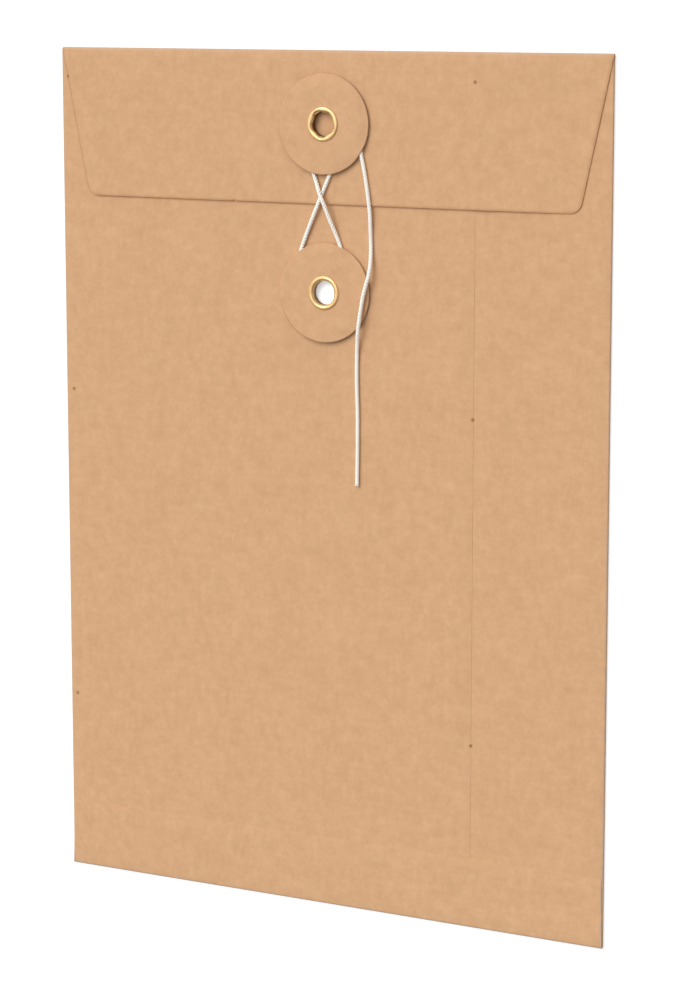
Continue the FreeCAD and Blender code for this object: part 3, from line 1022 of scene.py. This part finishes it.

# %% [markdown]
# The brass is bright and thin, polished by the roller that formed it, with fine scratches round the
# ring and a slightly dull film. Its bore and rolled end are painted dark brown as the shade inside the
# eyelet. The cotton string is off-white and matt, with a fuzz that the bump stands for, since single
# hairs are thinner than the eye sees from a step away.

# %% Brass and cotton
BRASS = (0.90, 0.61, 0.30, 1)
BRASS_DULL = (0.78, 0.51, 0.22, 1)
BORE_SHADE_COLOUR = (0.22, 0.12, 0.05, 1)
COTTON = (0.97, 0.94, 0.87, 1)
COTTON_SHADE = (0.93, 0.88, 0.79, 1)
BRASS_ROUGHNESS = (0.44, 0.56)
FILM_SCALE = 500
SCRATCH_SCALE = 2600
FUZZ_SCALE = 5200
SHADE_SCALE = 420
SHADE_SHARE = 0.7


def brass():
    """Bright rolled brass, with its bore and rolled end painted dark as shade."""
    material, shader = new_material("bright_brass")
    place = on_object(material)
    film = noise_at(material, place, FILM_SCALE)
    scratches = noise_at(material, place, SCRATCH_SCALE, (1, 1, 0.2), detail=2.0)
    polished = mix_colour(material, ramp(material, film, 0.45, 0.8), BRASS, BRASS_DULL)
    # Painted shade: the bore's weight turns the brass dark brown inside the eyelet.
    colour = mix_colour(material, stored(material, "dull"), polished, BORE_SHADE_COLOUR)
    connect(material, shader, "Base Color", colour)
    add_roughness(material, shader, film, *BRASS_ROUGHNESS)
    add_bump(material, shader, scratches, 0.12, 0.02 * MM)
    shader.inputs["Metallic"].default_value = 1.0
    return material


def cotton():
    """Off-white twisted cotton."""
    material, shader = new_material("white_cotton")
    place = on_object(material)
    fuzz = noise_at(material, place, FUZZ_SCALE)
    tone = noise_at(material, place, SHADE_SCALE, detail=2.0)
    shade = math_node(material, "MULTIPLY", ramp(material, tone, 0.4, 0.75), SHADE_SHARE)
    connect(material, shader, "Base Color", mix_colour(material, shade, COTTON, COTTON_SHADE))
    add_bump(material, shader, fuzz, 0.5, 0.03 * MM)
    shader.inputs["Roughness"].default_value = 0.85
    shader.inputs["Sheen Weight"].default_value = 0.3
    return material


bright_brass = brass()
for eyelet in (flap_eyelet, pocket_eyelet):
    eyelet.data.materials[0] = bright_brass
tie_string.data.materials.append(cotton())
print("materials:", ", ".join(sorted(material.name for material in bpy.data.materials)))

# %% [markdown]
# The light is plain: a bright sky that is stronger on the upper left, and a soft sun from there, which
# draws the thin shadows at the lower right of the string, the buttons and the flap. Both together are
# set to a level at which a colour renders about as it is written.

# %% Light
KEY_FROM = Vector((-0.31, 0.50, 0.81)).normalized()
SKY_FROM = -0.3
SKY_TO = 0.95
SKY_LOW = 0.165
SKY_HIGH = 0.77
SUN_STRENGTH = 1.95
SUN_SIZE = math.radians(45)


def make_sky():
    """A grey sky that brightens towards the key's side."""
    world = bpy.data.worlds.new("studio")
    scene.world = world
    world.use_nodes = True
    background = world.node_tree.nodes["Background"]
    background.inputs["Color"].default_value = (1, 1, 1, 1)
    place = add(world, "ShaderNodeTexCoord").outputs["Generated"]
    towards = add(world, "ShaderNodeVectorMath", {"operation": "DOT_PRODUCT"}, i0=place, i1=KEY_FROM)
    level = add(world, "ShaderNodeMapRange", {"interpolation_type": "SMOOTHSTEP"},
                Value=towards.outputs["Value"], From_Min=SKY_FROM, From_Max=SKY_TO,
                To_Min=SKY_LOW, To_Max=SKY_HIGH)
    connect(world, background, "Strength", level.outputs[0])


def make_sun():
    """The soft key light."""
    lamp = bpy.data.lights.new("key", "SUN")
    lamp.energy = SUN_STRENGTH
    lamp.angle = SUN_SIZE
    sun = bpy.data.objects.new("key", lamp)
    sun.matrix_world = KEY_FROM.to_track_quat("Z", "Y").to_matrix().to_4x4()
    scene.collection.objects.link(sun)


make_sky()
make_sun()
print("sun", SUN_STRENGTH, "and sky from", SKY_LOW, "to", SKY_HIGH)

# %% [markdown]
# The floor is a plain plate just under the envelope. It is white to the camera and to reflections, and
# pale to the light that it throws back, so that it keeps the envelope's shadow without clipping the
# paper. A plain white diffuse floor would be grey in the picture at this level of light.

# %% Floor
FLOOR_HALF = 3.0
FLOOR_DROP = 0.02 * MM
FLOOR_PALE = (0.8, 0.8, 0.8, 1)
FLOOR_GREY = (0.45, 0.45, 0.45, 1)
FLOOR_GLOW = 0.62


def make_floor():
    """A white table top."""
    plate = bmesh.new()
    bmesh.ops.create_grid(plate, x_segments=1, y_segments=1, size=FLOOR_HALF)
    bmesh.ops.translate(plate, vec=(0, 0, -FLOOR_DROP), verts=list(plate.verts))
    mesh = bpy.data.meshes.new("floor")
    plate.to_mesh(mesh)
    plate.free()
    floor = bpy.data.objects.new("floor", mesh)
    scene.collection.objects.link(floor)
    material, shader = new_material("floor_white")
    rays = add(material, "ShaderNodeLightPath").outputs
    seen = math_node(material, "MAXIMUM", rays["Is Camera Ray"], rays["Is Glossy Ray"])
    seen = math_node(material, "MAXIMUM", seen, rays["Is Transmission Ray"])
    pale = mix_colour(material, seen, FLOOR_PALE, FLOOR_GREY)
    plain = add(material, "ShaderNodeBsdfDiffuse", Color=pale)
    strength = math_node(material, "MULTIPLY", seen, FLOOR_GLOW)
    glow = add(material, "ShaderNodeEmission", Strength=strength)
    both = add(material, "ShaderNodeAddShader", i0=plain.outputs[0], i1=glow.outputs[0])
    output = material.node_tree.nodes["Material Output"]
    material.node_tree.links.new(both.outputs[0], output.inputs["Surface"])
    material.node_tree.nodes.remove(shader)
    mesh.materials.append(material)


make_floor()
print("floor", 2 * FLOOR_HALF, "m wide")
